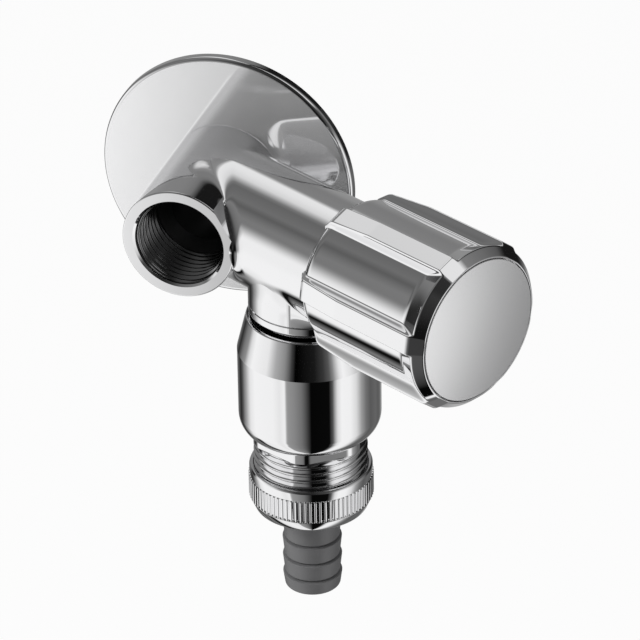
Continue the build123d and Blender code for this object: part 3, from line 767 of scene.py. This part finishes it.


# painted shade: the thread inside the front port is a dark grey metal standing in for the shade within the
# port; the inlet stub's thread is plain bright plating
thread_painted_shade = plated("thread_painted_shade", 0.14, 0.3, 0.03)
port_thread = threaded("port_thread", INLET, 20.5, 34.6, 10.47, 9.75, 10.8, 160, thread_painted_shade)
inlet_thread = threaded("inlet_thread", INLET, -12.6, -0.4, 9.35, 10.45, 8.6, 160, chrome)
for skin in (port_thread, inlet_thread):
    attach(skin, "body")

# Handle: a hollow die casting with six lobes and six long hollows for the fingers, plated bright.
# The hollows have round floors and run out in a curve before the front rim.
LOBES = 6
# degrees: the first lobe's middle, and half the width of a lobe's top and foot
LOBE_AT, LOBE_TOP, LOBE_FOOT = -21.0, 6.4, 9.4
HANDLE_R, HANDLE_BACK, HANDLE_END = 19.9, 46.0, 85.0
HOLLOW_FLOOR, FLOOR_ROUND, EDGE_ROUND = 17.0, 0.9, 0.35
HOLLOW_BACK, BACK_RUN, BACK_DROP = 48.6, 2.6, 1.3
HOLLOW_FRONT, FRONT_CURVE, FRONT_SLOPE, FRONT_SWEEP = 77.0, 1.4, 0.35, 0.012
HANDLE_BLANK = [
    (16.6, HANDLE_BACK, 0.5),
    (18.8, 48.2, 2.5),
    (HANDLE_R, 60.0, 8.0),
    (HANDLE_R, 82.0, 1.6),
    (17.2, HANDLE_END, 0.5),
    (16.85, HANDLE_END, 0.15),
    (16.85, 83.0, 0.1),
    (4.2, 83.0, 0.1),
    (4.2, 78.4, 0.1),
    (2.0, 78.4, 0.1),
    (2.0, 76.2, 0.1),
    (3.9, 76.2, 0.1),
    (3.9, 66.2, 0.3),
    (7.0, 66.2, 0.3),
    (7.0, 72.0, 0.5),
    (14.9, 72.0, 0.5),
    (14.9, HANDLE_BACK, 0.15),
]


def soft_least(first, second, soft):
    """The smaller of two arrays, blended over a width of soft so that the edge is a small round."""
    h = np.clip(0.5 + 0.5 * (second - first) / soft, 0, 1)
    return second + (first - second) * h - soft * h * (1 - h)


def hollowed(off, along, blank):
    """The radius at an angle off the lobe's middle: the floor of the hollow, which drops in a curve at
    the back and climbs at the front, first in a tight curve and then in a long slope, and a straight
    flank up to the lobe's flat top, with rounds at its foot and its edge."""
    back = np.clip((HOLLOW_BACK - along) / BACK_RUN, 0, 1)
    front = np.maximum(along - HOLLOW_FRONT, 0)
    past = np.maximum(front - FRONT_CURVE, 0)
    # the tight curve ends at the slope that the long one starts with
    tight = np.minimum(front, FRONT_CURVE) ** 2 * (FRONT_SLOPE / (2 * FRONT_CURVE))
    climb = tight + FRONT_SLOPE * past + FRONT_SWEEP * past**2
    floor = HOLLOW_FLOOR - BACK_DROP * back**2 + climb
    rise = (LOBE_FOOT - np.abs(off)) / (LOBE_FOOT - LOBE_TOP)
    flank = HOLLOW_FLOOR + rise * (HANDLE_R - HOLLOW_FLOOR)
    wall = -soft_least(-floor, -flank, FLOOR_ROUND)
    within = np.radians(np.minimum(np.abs(off), LOBE_TOP))
    top = blank * math.cos(math.radians(LOBE_TOP)) / np.cos(within)
    return soft_least(top, wall, EDGE_ROUND)


def cast_handle():
    """The handle's skin: the outer rows take the smaller of the blank and the hollows, and the rows
    of the front rim, the hub and the inner wall are plain circles."""
    outline = rounded(HANDLE_BLANK)[0]
    ends = int(np.argmax(outline[:, 1] >= HANDLE_END - 0.01))
    outer = outline[: ends + 1]
    step = np.concatenate([[0], np.cumsum(np.hypot(*np.diff(outer, axis=0).T))])
    # rows stand closer where the hollows run out at the back and the front
    at_back = np.interp(np.linspace(HANDLE_BACK, 49.0, 12), outer[:, 1], step)
    at_front = np.interp(np.linspace(76.5, 84.8, 46), outer[:, 1], step)
    fine = np.unique(np.concatenate([step, np.linspace(0, step[-1], 50), at_back, at_front]))
    fine = fine[np.concatenate([[True], np.diff(fine) > 0.05])]
    rows = np.stack([np.interp(fine, step, outer[:, 0]), np.interp(fine, step, outer[:, 1])], 1)
    rest = outline[ends + 1:]
    # half a lobe and half a hollow, with columns closest on the flank
    lobe_top = np.linspace(0, LOBE_TOP - 2.0, 3)
    flank = np.linspace(LOBE_TOP - 1.6, LOBE_FOOT + 1.6, 21)
    half = np.concatenate([lobe_top, flank, np.linspace(LOBE_FOOT + 2.4, 180 / LOBES, 12)])
    period = np.concatenate([-half[:0:-1], half[:-1]])
    off = np.tile(period, LOBES)
    lobe = np.repeat(np.arange(LOBES) * 360.0 / LOBES, len(period))
    angle = np.radians(off + LOBE_AT + lobe)
    around = len(angle)
    o, z = np.meshgrid(off, rows[:, 1])
    r = hollowed(o, z, np.broadcast_to(rows[:, :1], o.shape))
    radius = np.concatenate([r, np.broadcast_to(rest[:, :1], (len(rest), around))])
    place = np.concatenate([z, np.broadcast_to(rest[:, 1:], (len(rest), around))])
    # the angle runs from up toward the far side of the branch
    turn = np.broadcast_to(-angle, radius.shape)
    points = placed(BRANCH, radius, turn, place)
    faces = grid_faces(len(radius), around, True)
    facing = directions(BRANCH, np.ones(radius.shape), turn, np.zeros(radius.shape))
    facing[len(rows):] = 0
    return points, wound(points, faces, facing)


handle_points, handle_faces = cast_handle()
handle = make_piece("handle_skin", handle_points, handle_faces, chrome)
handle.data.set_sharp_from_angle(angle=math.radians(65))
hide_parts("handle")
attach(handle, "handle_set")

# Handle cap: a shallow plain dome, plated satin rather than bright, and pressed into the front of
# the handle. A thin dark gap shows round its edge.
CAP_R, CAP_RISE, CAP_EDGE = 16.6, 1.0, 85.1
DOME_R = (CAP_R**2 + CAP_RISE**2) / (2 * CAP_RISE)
dome_r = np.linspace(16.3, 1.2, 13)
dome_z = CAP_EDGE + CAP_RISE - (DOME_R - np.sqrt(DOME_R**2 - dome_r**2))
CAP_OUTLINE = [
    (0.0, 83.0, 0.0),
    (CAP_R, 83.0, 0.05),
    (CAP_R, CAP_EDGE, 0.12),
    *[(r, z, DOME_R) for r, z in zip(dome_r, dome_z)],
    (0.0, CAP_EDGE + CAP_RISE, 0.0),
]
cap, cap_surface = solid_of(BRANCH, CAP_OUTLINE, 200)
cap.name = cap.data.name = "cap_skin"
cap_lean = outline_fit(vertices_of(cap.data) * 1000.0, cap_surface)[1]
cap.data.polygons.foreach_set("use_smooth", np.ones(len(cap.data.polygons), bool))
cap.data.normals_split_custom_set_from_vertices(cap_lean.tolist())
cap.data.materials.append(plated("plated_satin", 0.22, 0.95, 0.01, 0.75))
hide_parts("handle_cap")
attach(cap, "handle_set")

# Aerator housing: a turned brass sleeve, plated, with an open ring at the top where air goes in.
# Below it are a collar with flats for a spanner and the threaded nipple.
HOUSING_R, BOTTOM_ROUND, BOTTOM_ROUND_AT = 16.47, 5.2, -43.0
swing = np.radians(np.linspace(0, 80, 9))
bottom_r = HOUSING_R - BOTTOM_ROUND + BOTTOM_ROUND * np.cos(swing)
bottom_z = BOTTOM_ROUND_AT - BOTTOM_ROUND * np.sin(swing)
HOUSING_OUTLINE = [
    (14.3, -17.4, 0.3),
    (HOUSING_R, -26.2, 0.5),
    *[(r, z, BOTTOM_ROUND) for r, z in zip(bottom_r, bottom_z)],
    (12.1, -48.2, 0.1),
    (12.1, -63.4, 0.3),
    (8.4, -63.4, 0.3),
    (8.4, -45.0, 0.1),
    (10.0, -45.0, 0.1),
    (10.0, -29.5, 0.1),
    (11.5, -29.5, 0.1),
    (11.5, -21.6, 0.1),
    (13.4, -21.6, 0.1),
    (13.4, -17.4, 0.2),
]
housing = turned("housing_skin", OUTLET, HOUSING_OUTLINE, chrome, 220)
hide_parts("aerator_housing")
COLLAR_FLAT, COLLAR_R, COLLAR_TURN = 12.3, 13.4, math.radians(38.0)
COLLAR_TOP, COLLAR_FOOT, COLLAR_INSIDE = -46.5, -50.0, 11.8


def flatted_collar(around):
    """A round bar with six flats: at each angle the radius is the smaller of the bar's and the flat's
    distance over the cosine of the angle from it. The lower edge is chamfered."""
    angle = np.arange(around) * (2 * math.pi / around)
    off = (angle - COLLAR_TURN) % (math.pi / 3) - math.pi / 6
    flat = soft_least(np.full(around, COLLAR_R), COLLAR_FLAT / np.cos(off), 0.25)
    chamfer = np.minimum(flat, 12.9) - 0.25
    rows = [
        (COLLAR_INSIDE, COLLAR_TOP),
        (flat, COLLAR_TOP),
        (flat, COLLAR_FOOT),
        (chamfer, COLLAR_FOOT - 0.45),
        (COLLAR_INSIDE, COLLAR_FOOT - 0.6),
    ]
    radius = np.stack([np.broadcast_to(r, around) for r, _ in rows])
    place = np.stack([np.full(around, z) for _, z in rows])
    turn = np.broadcast_to(angle, radius.shape)
    points = placed(OUTLET, radius, turn, place)
    facing = directions(OUTLET, np.ones(radius.shape), turn, np.zeros(radius.shape))
    facing[[0, -1]] = 0
    return points, wound(points, grid_faces(len(rows), around, True), facing)


collar_points, collar_faces = flatted_collar(240)
collar = make_piece("collar_skin", collar_points, collar_faces, chrome)
collar.data.set_sharp_from_angle(angle=math.radians(25))
nipple_thread = threaded("nipple_thread", OUTLET, -63.2, -50.0, 12.08, 13.2, 11.4, 180, chrome)
for skin in (housing, collar, nipple_thread):
    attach(skin, "body")

# Union nut: turned brass, plated, with a straight knurl for the fingers between two plain bands.
# It screws on the nipple, and its inner lip holds the hose tail.
KNURLS, KNURL_DEPTH = 80, 0.55
KNURL_TOP, KNURL_FOOT, NUT_WALL = -59.75, -65.2, 13.6
NUT_OUTLINE = [
    (13.35, -57.0, 0.1),
    (14.05, -57.0, 0.15),
    (14.3, -57.6, 0.2),
    (14.3, -59.6, 0.1),
    (13.95, -59.85, 0.05),
    (13.95, -65.1, 0.05),
    (14.3, -65.4, 0.1),
    (13.2, -68.0, 0.4),
    (8.0, -68.0, 0.2),
    (8.0, -66.4, 0.1),
    (13.35, -66.4, 0.1),
]


def knurled_nut():
    """The nut's skin: its outline carried round, with knurled rows that swing with the angle as
    flat-topped ridges, between the plain bands above and below."""
    outline = rounded(NUT_OUTLINE, steps=4)[0]
    around = KNURLS * 10
    angle = np.arange(around) * (2 * math.pi / around)
    ridge = KNURL_DEPTH * np.clip(0.62 + 0.8 * np.cos(KNURLS * angle), 0, 1)
    z = np.broadcast_to(outline[:, 1:], (len(outline), around))
    r = np.broadcast_to(outline[:, :1], z.shape)
    turn = np.broadcast_to(angle, z.shape)
    outside = outline[:, 0] > NUT_WALL
    knurled = outside & (outline[:, 1] < KNURL_TOP) & (outline[:, 1] > KNURL_FOOT)
    points = placed(OUTLET, r + knurled[:, None] * ridge, turn, z)
    facing = directions(OUTLET, np.ones(z.shape), turn, np.zeros(z.shape))
    facing[~outside] = 0
    return points, wound(points, grid_faces(len(outline), around, True), facing)


nut_points, nut_faces = knurled_nut()
nut = make_piece("nut_skin", nut_points, nut_faces, chrome)
nut.data.set_sharp_from_angle(angle=math.radians(35))
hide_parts("union_nut")
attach(nut, "nut")

# Hose tail: moulded grey plastic with three shoulders that hold the hose, each under a fine groove.
# Its flange is held by the nut's lip, against the hose washer.
BARB_EDGES = (-77.4, -82.3, -87.0)
TAIL_R, GROOVE_R, BARB_R = 6.5, 5.9, 6.95
barbs = []
for edge in BARB_EDGES:
    groove = [(GROOVE_R, edge + 0.5, 0.1), (GROOVE_R, edge + 0.15, 0.1)]
    barbs += [(TAIL_R, edge + 0.6, 0.1), *groove, (BARB_R, edge, 0.2)]
TAIL_OUTLINE = [
    (4.4, -64.8, 0.2),
    (12.8, -64.8, 0.2),
    (12.8, -66.3, 0.2),
    (7.4, -66.3, 0.2),
    (7.4, -68.4, 0.3),
    (BARB_R, -68.8, 0.3),
    *barbs,
    (TAIL_R, -90.2, 0.4),
    (5.4, -90.9, 0.3),
    (4.4, -90.9, 0.3),
]


def moulded(name, colour, rough):
    """Moulded plastic: a fine pebble left by the tool, in bump, and slight mottling of its colour and
    gloss."""
    paint = bpy.data.materials.new(name)
    tree = fresh_tree(paint)
    spot = node(tree, "ShaderNodeTexCoord", {}, {}, "Object")
    pebble = node(tree, "ShaderNodeTexNoise", {}, {"Vector": spot, "Scale": 2600.0, "Detail": 3.0}, "Fac")
    cloud = node(tree, "ShaderNodeTexNoise", {}, {"Vector": spot, "Scale": 260.0, "Detail": 3.0}, "Fac")
    dark = (*[0.9 * c for c in colour], 1)
    light = (*[1.1 * c for c in colour], 1)
    tint = node(tree, "ShaderNodeMix", {"data_type": "RGBA"}, {"Factor": cloud, 6: dark, 7: light}, 2)
    bump = {"Strength": 0.15, "Distance": 0.0001, "Height": pebble}
    relief = node(tree, "ShaderNodeBump", {}, bump, "Normal")
    values = {"Base Color": tint, "Roughness": rough + 0.12 * cloud, "Normal": relief}
    skin = node(tree, "ShaderNodeBsdfPrincipled", {}, values)
    node(tree, "ShaderNodeOutputMaterial", {}, {"Surface": skin})
    return paint


grey = moulded("grey_moulded", (0.135, 0.135, 0.138), 0.36)
tail = turned("tail_skin", OUTLET, TAIL_OUTLINE, grey, 160)
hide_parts("hose_barb")
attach(tail, "barb_set")

# Inner pieces: machined brass, black rubber, spring steel and white moulded plastic.
# They show only through the openings and when the nut is off.
machined = plated("machined_brass", 0.25, 1.0, 0.03, hue=(0.72, 0.52, 0.22))
sprung = plated("spring_steel", 0.28, 0.55, 0.03)
rubber = moulded("black_rubber", (0.02, 0.02, 0.02), 0.55)
white = moulded("white_moulded", (0.75, 0.75, 0.72), 0.4)
finishes = {"brass": machined, "steel": sprung, "rubber": rubber, "white_plastic": white}
for part in frame["record"]["subparts"]:
    finish = finishes.get(part["material_slot"])
    if finish:
        inner = frame["nodes"][part["node"]]
        inner.data.materials.clear()
        inner.data.materials.append(finish)
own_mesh(frame["nodes"]["check_spring"])
